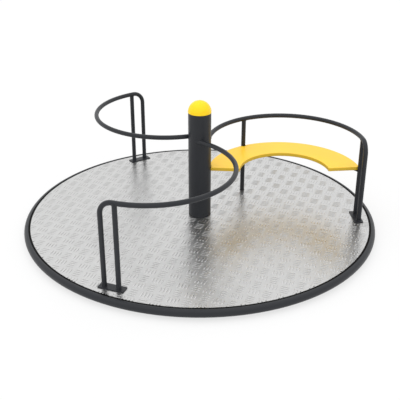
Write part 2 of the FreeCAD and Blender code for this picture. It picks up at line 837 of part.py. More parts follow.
def make_seat_leg():
    outer = size("rail_tube_radius")
    inner = size("rail_tube_radius - rail_wall")
    leg = tube(outer, inner, size("deck_top"), size("leg_top"), seat_leg_local())
    plug = rod(inner, size("deck_top"), size("deck_top + foot_thickness"), seat_leg_local())
    leg = leg.fuse(plug).removeSplitter().cut(rail_pipe(outer))
    leg = max(leg.Solids, key=lambda piece: piece.Volume)
    shape_part("seat_leg", leg, seat_rail_turn())


def make_foot_fixings():
    radius = size("foot_stud_radius")
    flats = size("foot_nut_flats")
    nut_height = size("foot_nut_height")
    top = size("deck_top")
    stud_set("foot", foot_stud_places(), radius, flats, nut_height,
             top, size("deck_bottom - backing_thickness"))
    stud_set("seat_leg", [seat_leg_place()], radius, flats, nut_height, top, size("deck_bottom"))


def make_deck_fixings():
    stud_set("deck", deck_stud_places(), size("deck_stud_radius"), size("deck_nut_flats"),
             size("deck_nut_height"), size("deck_bottom"), size("arm_bottom"))


make_base_plate()
make_spindle()
make_bearing("lower")
make_bearing("upper")
make_housings()
make_column()
make_cap()
make_arms()
make_ties()
make_ledge()
make_rim()
make_deck()
make_deck_fixings()
make_handrails()
make_seat_leg()
make_foot_fixings()
make_seat()
make_brackets()
document.recompute()

for item in document.Objects:
    if "Invalid" in item.State or "Error" in item.State:
        raise ValueError("failed: " + item.Label)
for part in parts:
    if part.Shape.isNull() or not part.Shape.isValid():
        raise ValueError("bad shape: " + part.Label)

os.makedirs("parts", exist_ok=True)
for part in parts:
    part.Shape.exportStep("parts/" + part.Label + ".step")
print(len(parts), "sub-parts written")
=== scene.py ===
import json
import math

import bmesh
import bpy
import numpy as np
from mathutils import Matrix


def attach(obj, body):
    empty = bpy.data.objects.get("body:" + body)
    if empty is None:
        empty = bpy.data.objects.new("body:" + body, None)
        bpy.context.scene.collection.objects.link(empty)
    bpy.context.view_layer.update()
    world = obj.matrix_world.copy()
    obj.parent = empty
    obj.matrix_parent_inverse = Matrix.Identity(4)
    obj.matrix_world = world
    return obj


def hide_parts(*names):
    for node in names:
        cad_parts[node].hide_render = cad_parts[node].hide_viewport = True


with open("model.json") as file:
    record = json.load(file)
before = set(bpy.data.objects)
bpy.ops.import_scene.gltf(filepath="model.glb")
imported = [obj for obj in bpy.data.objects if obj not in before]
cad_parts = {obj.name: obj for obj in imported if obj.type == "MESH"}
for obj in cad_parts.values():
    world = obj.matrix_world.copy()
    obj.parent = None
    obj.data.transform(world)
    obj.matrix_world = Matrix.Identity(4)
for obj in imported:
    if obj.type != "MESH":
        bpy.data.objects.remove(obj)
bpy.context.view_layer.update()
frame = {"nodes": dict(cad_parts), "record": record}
print("frame loaded:", len(frame["nodes"]), "nodes")


# shaders

class Socket:
    # output of a node, or of an expression of nodes

    def __init__(self, shader, socket):
        self.shader = shader
        self.socket = socket

    def maths(self, operation, first, second):
        return self.shader.node("ShaderNodeMath", {"operation": operation}, {0: first, 1: second})

    def __add__(self, other):
        return self.maths("ADD", self, other)

    def __radd__(self, other):
        return self.maths("ADD", other, self)

    def __sub__(self, other):
        return self.maths("SUBTRACT", self, other)

    def __rsub__(self, other):
        return self.maths("SUBTRACT", other, self)

    def __mul__(self, other):
        return self.maths("MULTIPLY", self, other)

    def __rmul__(self, other):
        return self.maths("MULTIPLY", other, self)


class Shader:
    # node tree of a material or of the world

    def __init__(self, tree):
        self.tree = tree
        tree.nodes.clear()

    def node(self, kind, settings=None, sockets=None, output=0):
        made = self.tree.nodes.new(kind)
        for name, value in (settings or {}).items():
            if name == "stops":
                self.setStops(made.color_ramp, value)
            else:
                setattr(made, name, value)
        for name, value in (sockets or {}).items():
            if isinstance(value, Socket):
                self.tree.links.new(value.socket, made.inputs[name])
            else:
                made.inputs[name].default_value = value
        return None if output is None else Socket(self, made.outputs[output])

    def setStops(self, ramp, stops):
        while len(ramp.elements) < len(stops):
            ramp.elements.new(1.0)
        for element, (position, colour) in zip(ramp.elements, stops):
            element.position = position
            element.color = (*colour, 1.0)


class Finish(Shader):
    # a material over the object's own coordinates, in metres

    def __init__(self, name):
        self.material = bpy.data.materials.new(name)
        self.material.use_nodes = True
        super().__init__(self.material.node_tree)
        self.place = self.node("ShaderNodeTexCoord", output="Object")

    def stretched(self, stretch, turn=0.0):
        turned = self.node("ShaderNodeVectorRotate", {"rotation_type": "Z_AXIS"},
                           {"Vector": self.place, "Angle": turn})
        return self.node("ShaderNodeVectorMath", {"operation": "MULTIPLY"}, {0: turned, 1: stretch})

    def grain(self, scale, detail=2.0, place=None):
        return self.node("ShaderNodeTexNoise", {},
                         {"Vector": place or self.place, "Scale": scale, "Detail": detail})

    def between(self, value, low, high):
        # 0 below low, 1 above high, smooth on the way
        return self.node("ShaderNodeMapRange", {"interpolation_type": "SMOOTHSTEP"},
                         {"Value": value, "From Min": low, "From Max": high})

    def scratches(self, turn, density, along=28.0, low=0.66, high=0.72):
        # short fine lines along one direction
        lines = self.grain(1.0, 2.0, self.stretched((along, density, along), turn))
        return self.between(lines, low, high)

    def tint(self, factor, low, high):
        if not isinstance(low, Socket):
            low = (*low, 1.0)
        if not isinstance(high, Socket):
            high = (*high, 1.0)
        return self.node("ShaderNodeMix", {"data_type": "RGBA"}, {0: factor, 6: low, 7: high}, 2)

    def relief(self, height, strength, distance, under=None):
        sockets = {"Height": height, "Strength": strength, "Distance": distance}
        if under:
            sockets["Normal"] = under
        return self.node("ShaderNodeBump", {}, sockets)

    def skin(self, colour, roughness, normal, fixed):
        sockets = {"Base Color": colour, "Roughness": roughness, "Normal": normal}
        surface = self.node("ShaderNodeBsdfPrincipled", {}, {**sockets, **fixed})
        self.node("ShaderNodeOutputMaterial", {}, {"Surface": surface}, None)
        return self.material


deckTop = 0.0564

coating = {
    "deep": (0.0108, 0.0121, 0.0152), "pale": (0.0160, 0.0178, 0.0218), "clouds": 6.0,
    "fleck": (0.05, 0.053, 0.058), "fleckScale": 2100.0, "fleckFrom": 0.70, "fleckTo": 0.78,
    "fleckAmount": 0.4, "rubScale": 21.0, "rubFrom": 0.60, "rubTo": 0.78, "rubGloss": 0.10,
    "gloss": 0.34, "glossSpread": 0.10,
    "peel": 620.0, "peelDepth": 0.00008, "peelStrength": 0.35, "lumpSize": 4, "lumpStrength": 0.18,
    "fixed": {"Specular IOR Level": 0.34},
}


def makeCoating(name, look, rough=1.0):
    # textured powder coat: orange peel, sparse flecks, cloudy gloss and light rubbing
    paint = Finish(name)
    clouds = paint.grain(look["clouds"], 4.0)
    peel = paint.grain(look["peel"], 1.0)
    lumps = paint.grain(look["peel"] / look["lumpSize"], 2.0)
    flecks = paint.between(paint.grain(look["fleckScale"], 0.0), look["fleckFrom"], look["fleckTo"])
    rubbed = paint.between(paint.grain(look["rubScale"], 5.0), look["rubFrom"], look["rubTo"])
    colour = paint.tint(clouds, look["deep"], look["pale"])
    colour = paint.tint(flecks * look["fleckAmount"], colour, look["fleck"])
    roughness = clouds * look["glossSpread"] + look["gloss"] + rubbed * look["rubGloss"]
    coarse = paint.relief(lumps, look["lumpStrength"] * rough, look["peelDepth"] * look["lumpSize"])
    fine = paint.relief(peel, look["peelStrength"], look["peelDepth"], coarse)
    return paint.skin(colour, roughness, fine, look["fixed"])


treadMetal = {
    "deep": (0.60, 0.60, 0.60), "pale": (0.70, 0.70, 0.695),
    "patchScale": 5.0, "patchShare": 0.6, "bandShare": 0.4,
    "worn": (0.78, 0.78, 0.775), "wornFrom": 0.0012, "wornTo": 0.0019, "wornAmount": 0.5,
    # painted shade: the next row darkens the bar flanks
    "flankShade": (0.42, 0.42, 0.415), "flankShadeFrom": 0.50, "flankShadeTo": 0.90,
    # painted shade: the next row paints upright faces near black for the dark line at the deck's edge
    "edgeShade": (0.012, 0.012, 0.013), "edgeShadeFrom": 0.02, "edgeShadeTo": 0.10,
    "gloss": 0.26, "glossSpread": 0.08, "scratchGloss": 0.10, "wornGloss": 0.05,
    "rollTurn": math.radians(-70.17), "rollLines": (9.0, 1500.0, 9.0), "rollBands": (3.0, 60.0, 3.0),
    "scratches": ((0.4, 900.0), (1.9, 1100.0), (-0.7, 800.0)),
    "scratchStrength": 0.20, "rollStrength": 0.16, "lineDepth": 0.00003,
}


def makeTreadMetal(name, look):
    # bright rolled aluminium: rolling lines, dull patches, shoe scratches, bar tops rubbed bright,
    # bar flanks darkened on every side as painted shade, upright edges painted near black as painted shade
    metal = Finish(name)
    height = metal.node("ShaderNodeSeparateXYZ", {}, {0: metal.place}, "Z")
    tops = metal.between(height, deckTop + look["wornFrom"], deckTop + look["wornTo"])
    patches = metal.grain(look["patchScale"], 4.0)
    rolling = metal.grain(1.0, 3.0, metal.stretched(look["rollLines"], look["rollTurn"]))
    bands = metal.grain(1.0, 2.0, metal.stretched(look["rollBands"], look["rollTurn"]))
    first, second, third = (metal.scratches(turn, density) for turn, density in look["scratches"])
    scratched = first + second + third
    colour = metal.tint(patches * look["patchShare"] + bands * look["bandShare"], look["deep"], look["pale"])
    colour = metal.tint(tops * look["wornAmount"], colour, look["worn"])
    facing = metal.node("ShaderNodeTexCoord", output="Normal")
    upward = metal.node("ShaderNodeSeparateXYZ", {}, {0: facing}, "Z")
    # painted shade: bar flanks darkened by their slope, standing in for shade and reflections on the bar
    # sides
    colour = metal.tint(metal.between(upward, look["flankShadeFrom"], look["flankShadeTo"]), look["flankShade"], colour)
    # painted shade: upright faces (the deck sheet's edge, the bar ends) painted near black for the dark line
    # at the deck's edge
    level = metal.between(upward * upward, look["edgeShadeFrom"], look["edgeShadeTo"])
    colour = metal.tint(level, look["edgeShade"], colour)
    roughness = (patches * look["glossSpread"] + look["gloss"] + scratched * look["scratchGloss"]
                 - tops * look["wornGloss"])
    lines = metal.relief(rolling, look["rollStrength"], look["lineDepth"])
    normal = metal.relief(scratched, look["scratchStrength"], look["lineDepth"], lines)
    return metal.skin(colour, roughness, normal, {"Metallic": 1.0})


capYellow = {
    "deep": (0.91, 0.58, 0.001), "pale": (0.98, 0.64, 0.004), "flow": (18.0, 18.0, 40.0),
    "gloss": 0.30, "flowGloss": 0.08,
    "scuffScale": 60.0, "scuffFrom": 0.62, "scuffTo": 0.75, "scuffGloss": 0.12,
    "grainScale": 1700.0, "grainStrength": 0.22, "grainDepth": 0.00005,
    "fixed": {"Specular IOR Level": 0.32, "Subsurface Weight": 0.06, "Subsurface Scale": 0.004},
}
seatYellow = {
    "deep": (0.86, 0.52, 0.024), "pale": (0.95, 0.585, 0.036), "clouds": 7.0,
    "cut": (0.60, 0.38, 0.014), "flatFrom": 0.55, "flatTo": 0.9,
    "gloss": 0.36, "cloudGloss": 0.08, "cutGloss": 0.14,
    "scuffs": (16.0, 70.0, 16.0), "scuffTurn": 0.6, "scuffFrom": 0.60, "scuffTo": 0.74, "scuffGloss": 0.10,
    "pebbles": 620.0, "pebbleSoftness": 0.6, "pebbleDepth": 0.00014,
    "cutterLines": (14.0, 14.0, 900.0), "cutterDepth": 0.0001, "strength": 0.30,
    "fixed": {"Specular IOR Level": 0.45},
}


def makeCapPlastic(name, look):
    # moulded polyethylene: spark-eroded grain and slow flow marks
    plastic = Finish(name)
    flow = plastic.grain(1.0, 3.0, plastic.stretched(look["flow"]))
    grain = plastic.grain(look["grainScale"], 2.0)
    scuffs = plastic.between(plastic.grain(look["scuffScale"], 6.0), look["scuffFrom"], look["scuffTo"])
    colour = plastic.tint(flow, look["deep"], look["pale"])
    roughness = flow * look["flowGloss"] + look["gloss"] + scuffs * look["scuffGloss"]
    normal = plastic.relief(grain, look["grainStrength"], look["grainDepth"])
    return plastic.skin(colour, roughness, normal, look["fixed"])


def makeSeatPlastic(name, look):
    # polyethylene board: pebbled faces, cutter lines along the machined edge
    board = Finish(name)
    facing = board.node("ShaderNodeTexCoord", output="Normal")
    upward = board.node("ShaderNodeSeparateXYZ", {}, {0: facing}, "Z")
    flat = board.between(upward * upward, look["flatFrom"], look["flatTo"])
    clouds = board.grain(look["clouds"], 4.0)
    pebbles = board.node("ShaderNodeTexVoronoi", {"feature": "SMOOTH_F1"}, {
        "Vector": board.place, "Scale": look["pebbles"], "Smoothness": look["pebbleSoftness"]})
    cutter = board.grain(1.0, 1.0, board.stretched(look["cutterLines"]))
    scuffed = board.grain(1.0, 5.0, board.stretched(look["scuffs"], look["scuffTurn"]))
    scuffs = board.between(scuffed, look["scuffFrom"], look["scuffTo"])
    colour = board.tint(clouds, look["deep"], look["pale"])
    colour = board.tint(flat, look["cut"], colour)
    roughness = (clouds * look["cloudGloss"] + look["gloss"] + scuffs * look["scuffGloss"]
                 + (1 - flat) * look["cutGloss"])
    faces = board.relief(pebbles * flat, look["strength"], look["pebbleDepth"])
    edges = board.relief(cutter * (1 - flat), look["strength"], look["cutterDepth"], faces)
    return board.skin(colour, roughness, edges, look["fixed"])


galvanised = {
    "deep": (0.36, 0.37, 0.385), "pale": (0.56, 0.57, 0.58), "spangle": 85.0, "clouds": 9.0,
    "spangleShare": 0.6, "cloudShare": 0.4, "gloss": 0.34, "spangleGloss": 0.14, "cloudGloss": 0.10,
    "fine": 500.0, "fineStrength": 0.12, "fineDepth": 0.00008, "metallic": 0.9,
}


def makeGalvanised(name, look):
    # hot-dip zinc: crystal spangle in patches of brightness and gloss
    zinc = Finish(name)
    cells = zinc.node("ShaderNodeTexVoronoi", {}, {"Vector": zinc.place, "Scale": look["spangle"]}, "Color")
    spangle = zinc.node("ShaderNodeSeparateColor", {}, {0: cells}, "Red")
    clouds = zinc.grain(look["clouds"], 5.0)
    fine = zinc.grain(look["fine"], 3.0)
    bright = spangle * look["spangleShare"] + clouds * look["cloudShare"]
    colour = zinc.tint(bright, look["deep"], look["pale"])
    roughness = spangle * look["spangleGloss"] + look["gloss"] + clouds * look["cloudGloss"]
    normal = zinc.relief(fine, look["fineStrength"], look["fineDepth"])
    return zinc.skin(colour, roughness, normal, {"Metallic": look["metallic"]})


turnedMetals = {
    "machined_steel": {"deep": (0.40, 0.40, 0.41), "pale": (0.55, 0.55, 0.56), "gloss": 0.26,
                       "lines": 1800.0},
    "bearing_steel": {"deep": (0.62, 0.62, 0.63), "pale": (0.74, 0.74, 0.75), "gloss": 0.12,
                      "lines": 2600.0},
    "brass_parts": {"deep": (0.62, 0.42, 0.16), "pale": (0.80, 0.58, 0.25), "gloss": 0.24,
                    "lines": 1500.0},
    "zinc_fixings": {"deep": (0.50, 0.50, 0.47), "pale": (0.66, 0.67, 0.70), "gloss": 0.30,
                     "lines": 1000.0},
}
turning = {
    "across": 12.0, "film": 40.0, "filmGloss": 0.10, "patchFrom": 0.55, "patchTo": 0.7, "patchGloss": 0.05,
    "strength": 0.20, "depth": 0.00004,
}


def makeTurned(name, look):
    # lathe or thread lines round the part, thin oil film in patches
    metal = Finish(name)
    lines = metal.grain(1.0, 2.0, metal.stretched((turning["across"], turning["across"], look["lines"])))
    film = metal.grain(turning["film"], 4.0)
    colour = metal.tint(film, look["deep"], look["pale"])
    patches = metal.between(film, turning["patchFrom"], turning["patchTo"])
    roughness = film * turning["filmGloss"] + look["gloss"] + patches * turning["patchGloss"]
    normal = metal.relief(lines, turning["strength"], turning["depth"])
    return metal.skin(colour, roughness, normal, {"Metallic": 1.0})


rubber = {
    "deep": (0.004, 0.004, 0.004), "bloom": (0.011, 0.011, 0.011), "bloomScale": 30.0,
    "bloomFrom": 0.5, "bloomTo": 0.8, "gloss": 0.60, "bloomGloss": 0.14,
    "skinScale": 900.0, "skinStrength": 0.3, "skinDepth": 0.0001,
    "fixed": {"Specular IOR Level": 0.06},
}


def makeRubber(name, look):
    # black rubber with a faint grey bloom
    bead = Finish(name)
    bloom = bead.grain(look["bloomScale"], 5.0)
    colour = bead.tint(bead.between(bloom, look["bloomFrom"], look["bloomTo"]), look["deep"], look["bloom"])
    roughness = bloom * look["bloomGloss"] + look["gloss"]
    normal = bead.relief(bead.grain(look["skinScale"], 2.0), look["skinStrength"], look["skinDepth"])
    return bead.skin(colour, roughness, normal, look["fixed"])


finishes = {
    "frame_coating": makeCoating("frameCoating", coating),
    "tread_plate": makeTreadMetal("treadPlateMetal", treadMetal),
    "cap_plastic": makeCapPlastic("capPlastic", capYellow),
    "seat_plastic": makeSeatPlastic("seatPlastic", seatYellow),
    "seal_rubber": makeRubber("sealRubber", rubber),
    "galvanised_steel": makeGalvanised("galvanisedSteel", galvanised),
}
for slotName, metal in turnedMetals.items():
    finishes[slotName] = makeTurned(slotName.replace("_", " ").title().replace(" ", ""), metal)
weldCoating = makeCoating("weldCoating", coating, 2.0)

for part in frame["record"]["subparts"]:
    mesh = frame["nodes"][part["node"]].data
    mesh.materials.clear()
    mesh.materials.append(finishes[part["material_slot"]])
print("finishes made:", len(finishes) + 1)


# pieces

def addPiece(name, points, faces, slotName, creaseAngle=38.0, finish=None, body="platform"):
    mesh = bpy.data.meshes.new(name)
    mesh.from_pydata([tuple(map(float, point)) for point in points], [], faces)
    work = bmesh.new()
    work.from_mesh(mesh)
    bmesh.ops.remove_doubles(work, verts=work.verts, dist=1e-7)
    bmesh.ops.recalc_face_normals(work, faces=work.faces)
    work.to_mesh(mesh)
    work.free()
    mesh.shade_smooth()
    mesh.set_sharp_from_angle(angle=math.radians(creaseAngle))
    mesh.materials.append(finish or finishes[slotName])
    piece = bpy.data.objects.new(name, mesh)
    bpy.context.scene.collection.objects.link(piece)
    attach(piece, body)
    print("piece", name, len(mesh.polygons), "faces")
    return piece


def turned2d(points, angle):
    cosine, sine = math.cos(angle), math.sin(angle)
    x, y = np.asarray(points, float).T
    return np.column_stack([x * cosine - y * sine, x * sine + y * cosine])


def joined(parts):
    # one point list and one face list from several
    points, faces, count = [], [], 0
    for partPoints, partFaces in parts:
        points.extend(partPoints)
        faces.extend([tuple(index + count for index in face) for face in partFaces])
        count += len(partPoints)
    return points, faces


rail = {
    "arcCentre": 0.4778, "arcRadius": 0.4280, "tube": 0.0127, "height": 0.5214,
    "turns": [math.radians(angle) for angle in (-120.75, -6.21, 114.18)], "seatRail": 1,
    "outerLeg": (0.91083, 0.00555), "innerLeg": math.radians(11.1), "seatLeg": math.radians(126.0),
    "column": 0.0635,
}
foot = {
    "middle": (0.89931, 0.04397), "turn": math.radians(99.62), "length": 0.140, "width": 0.050,
    "corner": 0.004, "cornerSpacing": 0.001, "bottom": deckTop, "top": 0.0614, "rounding": 0.0010,
}


def onArc(radius, angle):
    return np.array([rail["arcCentre"] + radius * math.cos(angle), radius * math.sin(angle)])


innerLeg = onArc(rail["arcRadius"], rail["innerLeg"])
seatLeg = onArc(rail["arcRadius"], rail["seatLeg"])
seatLegWorld = turned2d([seatLeg], rail["turns"][rail["seatRail"]])[0]


# rolled bars of the tread plate

bars = {
    "pitch": 0.0674266, "turn": math.radians(70.17), "first": (-0.1512, -0.1806), "perGroup": 4,
    "rows": 18, "reach": 1.03,
    "spacing": 0.0164, "length": 0.0500, "width": 0.0070, "height": 0.0020, "sunk": 0.0002,
    "checks": 41, "shortest": 0.2,
    "deckRadius": 0.9640, "columnClear": 0.0670, "footClear": 0.0015, "legClear": 0.0172,
}
barStations = (-1.0, -0.86, -0.45, 0.45, 0.86, 1.0)
barWidths = (0.15, 0.70, 1.0, 1.0, 0.70, 0.15)
barHeights = (0.0, 0.62, 1.0, 1.0, 0.62, 0.0)
barSection = ((-1.0, 0.0), (-0.72, 0.85), (0.0, 1.0), (0.72, 0.85), (1.0, 0.0))


def onDeck(points):
    # true where a bar may stand: on the sheet, clear of the column, the feet and the seat leg
    radius = np.hypot(points[:, 0], points[:, 1])
    free = (radius < bars["deckRadius"]) & (radius > bars["columnClear"])
    free &= np.hypot(*(points - seatLegWorld).T) > bars["legClear"]
    for angle in rail["turns"]:
        local = turned2d(turned2d(points, -angle) - np.array(foot["middle"]), -foot["turn"])
        free &= ((np.abs(local[:, 0]) > foot["length"] / 2 + bars["footClear"])
                 | (np.abs(local[:, 1]) > foot["width"] / 2 + bars["footClear"]))
    return free


def oneBar(middle, angle):
    # one bar, cut short at whatever it meets; none where too little of it is left
    along = np.array([math.cos(angle), math.sin(angle)])
    across = np.array([-along[1], along[0]])
    half = bars["length"] / 2
    steps = np.linspace(-1, 1, bars["checks"])
    line = middle + np.outer(steps * half, along)
    side = across * bars["width"] / 2
    free = onDeck(line) & onDeck(line + side) & onDeck(line - side)
    if not free.any():
        return None
    kept = steps[free]
    low, high = kept.min(), kept.max()
    if high - low < bars["shortest"] or not free[(steps >= low) & (steps <= high)].all():
        return None
    stations = [low] + [s for s in barStations if low < s < high] + [high]
    points, faces = [], []
    for station in stations:
        width = np.interp(station, barStations, barWidths) * bars["width"] / 2
        height = np.interp(station, barStations, barHeights) * (bars["height"] + bars["sunk"])
        spine = middle + along * station * half
        for offset, rise in barSection:
            place = spine + across * offset * width
            points.append((place[0], place[1], deckTop - bars["sunk"] + rise * height))
    count = len(barSection)
    for ring in range(len(stations) - 1):
        for index in range(count):
            after = (index + 1) % count
            faces.append((ring * count + index, (ring + 1) * count + index,
                          (ring + 1) * count + after, ring * count + after))
    faces.append(tuple(range(count)))
    faces.append(tuple((len(stations) - 1) * count + index for index in reversed(range(count))))
    return points, faces


def makeBars():
    # groups on a square grid, each turned a quarter from its neighbours
    grid = range(-bars["rows"], bars["rows"] + 1)
    made = []
    for row in grid:
        for column in grid:
            step = turned2d([(row * bars["pitch"], column * bars["pitch"])], bars["turn"])[0]
            group = np.array(bars["first"]) + step
            if np.hypot(*group) > bars["reach"]:
                continue
            angle = bars["turn"] + (math.pi / 2 if (row + column) % 2 else 0.0)
            across = np.array([-math.sin(angle), math.cos(angle)])
            for number in range(bars["perGroup"]):
                shift = (number - (bars["perGroup"] - 1) / 2) * bars["spacing"]
                bar = oneBar(group + across * shift, angle)
                if bar:
                    made.append(bar)
    print("tread bars:", len(made))
    points, faces = joined(made)
    addPiece("treadBars", points, faces, "tread_plate", 50.0)


makeBars()


# flat pieces with rounded edges

def unit(vectors):
    return vectors / np.maximum(np.linalg.norm(vectors, axis=1, keepdims=True), 1e-12)


def insetOutline(outline, inset):
    # outline runs anticlockwise; every corner moves in along its mitre
    before = unit(outline - np.roll(outline, 1, axis=0))
    after = unit(np.roll(outline, -1, axis=0) - outline)
    one = np.column_stack([-before[:, 1], before[:, 0]])
    two = np.column_stack([-after[:, 1], after[:, 0]])
    mitre = (one + two) / (1 + (one * two).sum(1, keepdims=True))
    return outline + mitre * inset


def slab(outline, bottom, top, rounding, steps=3, lip=0.001):
    # board of one outline with rounded upper and lower edges
    quarter = [math.pi / 2 * step / steps for step in range(steps + 1)]
    levels = [(rounding + lip, bottom)]
    levels += [(rounding * (1 - math.sin(a)), bottom + rounding * (1 - math.cos(a))) for a in quarter]
    levels += [(rounding * (1 - math.cos(a)), top - rounding * (1 - math.sin(a))) for a in quarter]
    levels.append((rounding + lip, top))
    count = len(outline)
    points, faces = [], []
    for inset, level in levels:
        points.extend((x, y, level) for x, y in insetOutline(outline, inset))
    for ring in range(len(levels) - 1):
        for index in range(count):
            after = (index + 1) % count
            faces.append((ring * count + index, ring * count + after,
                          (ring + 1) * count + after, (ring + 1) * count + index))
    faces.append(tuple(reversed(range(count))))
    faces.append(tuple((len(levels) - 1) * count + index for index in range(count)))
    return points, faces


def arcPoints(centre, radius, first, last, spacing):
    count = max(3, int(abs(last - first) * radius / spacing) + 1)
    angles = np.linspace(first, last, count)
    return np.column_stack([centre[0] + radius * np.cos(angles), centre[1] + radius * np.sin(angles)])


seat = {
    "outer": 0.427, "inner": 0.250, "first": math.radians(12.0), "last": math.radians(181.5),
    "bottom": 0.3319, "top": 0.3519, "rounding": 0.0024, "legGap": 0.0137, "columnGap": 0.0645,
    "spacing": 0.006, "endSpacing": 1.5 * 0.006, "notchSpacing": 0.0015,
}


def crossing(inside, outside, centre, radius):
    # point of a segment on the circle, by halving
    for step in range(30):
        middle = (inside + outside) / 2
        if np.hypot(*(middle - centre)) < radius:
            inside = middle
        else:
            outside = middle
    return outside


def letIn(outline, centre, radius):
    # cut a round notch out of the outline where a post passes
    inside = np.hypot(*(outline - centre).T) < radius
    if not inside.any():
        return outline
    start = next(i for i in range(len(outline)) if inside[i] and not inside[i - 1])
    outline = np.roll(outline, -start, axis=0)
    run = int(np.argmin(np.roll(inside, -start)))
    entry = crossing(outline[0], outline[-1], centre, radius)
    leave = crossing(outline[run - 1], outline[run], centre, radius)
    first = math.atan2(*(entry - centre)[::-1])
    last = math.atan2(*(leave - centre)[::-1])
    middleRadius = (seat["outer"] + seat["inner"]) / 2
    fullTurn = 2 * math.pi
    choices = [last + turn for turn in (-fullTurn, 0.0, fullTurn) if abs(last + turn - first) < fullTurn]

    def offBoard(end):
        # how far the notch's middle lies from the board's middle line
        halfway = (first + end) / 2
        middle = centre + radius * np.array([math.cos(halfway), math.sin(halfway)])
        return abs(math.hypot(middle[0] - rail["arcCentre"], middle[1]) - middleRadius)

    notch = arcPoints(centre, radius, first, min(choices, key=offBoard), seat["notchSpacing"])
    return np.vstack([notch, outline[run:]])


def makeSeatBoard():
    centre = (rail["arcCentre"], 0.0)
    outline = np.vstack([
        arcPoints(centre, seat["outer"], seat["first"], seat["last"], seat["spacing"]),
        arcPoints(centre, seat["inner"], seat["last"], seat["first"], seat["spacing"]),
    ])
    dense = []  # the straight ends get points too, so that the notches find them
    for point, after in zip(outline, np.roll(outline, -1, axis=0)):
        parts = max(1, int(np.hypot(*(after - point)) / seat["endSpacing"]))
        dense.extend(point + (after - point) * step / parts for step in range(parts))
    outline = np.array(dense)
    posts = ((innerLeg, seat["legGap"]), (seatLeg, seat["legGap"]), (np.zeros(2), seat["columnGap"]))
    for post, gap in posts:
        outline = letIn(outline, post, gap)
    outline = turned2d(outline, rail["turns"][rail["seatRail"]])
    points, faces = slab(outline, seat["bottom"], seat["top"], seat["rounding"])
    board = addPiece("seatBoard", points, faces, "seat_plastic", 50.0)
    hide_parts("seat_board")


makeSeatBoard()


def makeFootPlates():
    half = np.array([foot["length"], foot["width"]]) / 2 - foot["corner"]
    corners = [(1, 1), (-1, 1), (-1, -1), (1, -1)]
    quarter = math.pi / 2
    outline = np.vstack([arcPoints(half * corner, foot["corner"], quarter * number, quarter * (number + 1),
                                   foot["cornerSpacing"]) for number, corner in enumerate(corners)])
    local = turned2d(outline, foot["turn"]) + np.array(foot["middle"])
    for number, angle in enumerate(rail["turns"], start=1):
        points, faces = slab(turned2d(local, angle), foot["bottom"], foot["top"], foot["rounding"])
        plate = addPiece("footPlate%d" % number, points, faces, "frame_coating", 50.0)
        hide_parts("foot_plate_%d" % number)


makeFootPlates()


# cap of the column

cap = {
    "radius": 0.0645, "bottom": 0.6724, "dome": 0.6744, "hollow": 0.0562, "collar": 0.0592,
    "collarBottom": 0.6504, "lip": 0.0008, "lipCurve": 0.3, "groove": 0.0003,
    "gate": 0.0022, "gateFloor": 0.8, "gateDepth": 0.0004,
    "turns": 96, "rings": 26,
}


def lathe(profile, count):
    # closed profile of (radius, height) points turned about the upright axis
    points, faces = [], []
    for step in range(count):
        angle = 2 * math.pi * step / count
        points.extend((r * math.cos(angle), r * math.sin(angle), z) for r, z in profile)
    size = len(profile)
    for step in range(count):
        following = (step + 1) % count
        for index in range(size):
            after = (index + 1) % size
            corners = [(step, index), (following, index), (following, after), (step, after)]
            if profile[index][0] == 0 and profile[after][0] == 0:
                continue
            if profile[index][0] == 0:
                corners = [(0, index), (following, after), (step, after)]
            elif profile[after][0] == 0:
                corners = [(step, index), (following, index), (0, after)]
            faces.append(tuple(a * size + b for a, b in corners))
    return points, faces


def makeCap():
    radius, base, dome, hollow = cap["radius"], cap["bottom"], cap["dome"], cap["hollow"]
    lip, groove, gate = cap["lip"], cap["groove"], cap["gate"]
    quarters = [math.pi / 2 * step / cap["rings"] for step in range(cap["rings"] + 1)]
    top = dome + radius
    sunk = top - cap["gateDepth"]
    profile = [(radius - lip, base), (radius - cap["lipCurve"] * lip, base + cap["lipCurve"] * lip),
               (radius, base + lip)]
    profile += [(radius, dome - 2 * groove), (radius - groove, dome - groove), (radius - groove, dome),
                (radius, dome + groove)]
    profile += [(radius * math.cos(angle), dome + radius * math.sin(angle)) for angle in quarters[1:]
                if radius * math.cos(angle) > gate]
    profile += [(gate, top), (cap["gateFloor"] * gate, sunk), (0.0, sunk), (0.0, dome + hollow)]
    profile += [(hollow * math.cos(angle), dome + hollow * math.sin(angle)) for angle in quarters[-2::-1]]
    profile += [(hollow, cap["collarBottom"]), (cap["collar"] - lip / 2, cap["collarBottom"]),
                (cap["collar"], cap["collarBottom"] + lip), (cap["collar"], base)]
    points, faces = lathe(profile, cap["turns"])
    piece = addPiece("columnCap", points, faces, "cap_plastic", 32.0)
    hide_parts("column_cap")


makeCap()


# black ring between the deck's edge and the rim, drawn a little way up the rim: painted shade that stands in
# for the dark gap there

edgeShadeRing = {
    "section": ((0.9645, 0.0536), (0.9645, 0.0560), (0.9690, 0.0560), (0.9757, 0.0573),
                (0.9740, 0.0562), (0.9680, 0.0540)),
    "turns": 360,
}


def makeEdgeShadeRing():
    points, faces = lathe(edgeShadeRing["section"], edgeShadeRing["turns"])
    # painted shade: a black ring for the shaded gap at the deck's edge, not a seal
    addPiece("deckEdgeShade", points, faces, "seal_rubber")


makeEdgeShadeRing()


# weld beads

bead = {
    "radius": 0.0026, "pitch": 0.0032, "samples": 4, "sides": 8, "ripple": 0.20, "rippleCurve": 1.5,
    "endSwell": 0.55, "steep": 0.2, "ringPoints": 72, "arcPoints": 24,
}


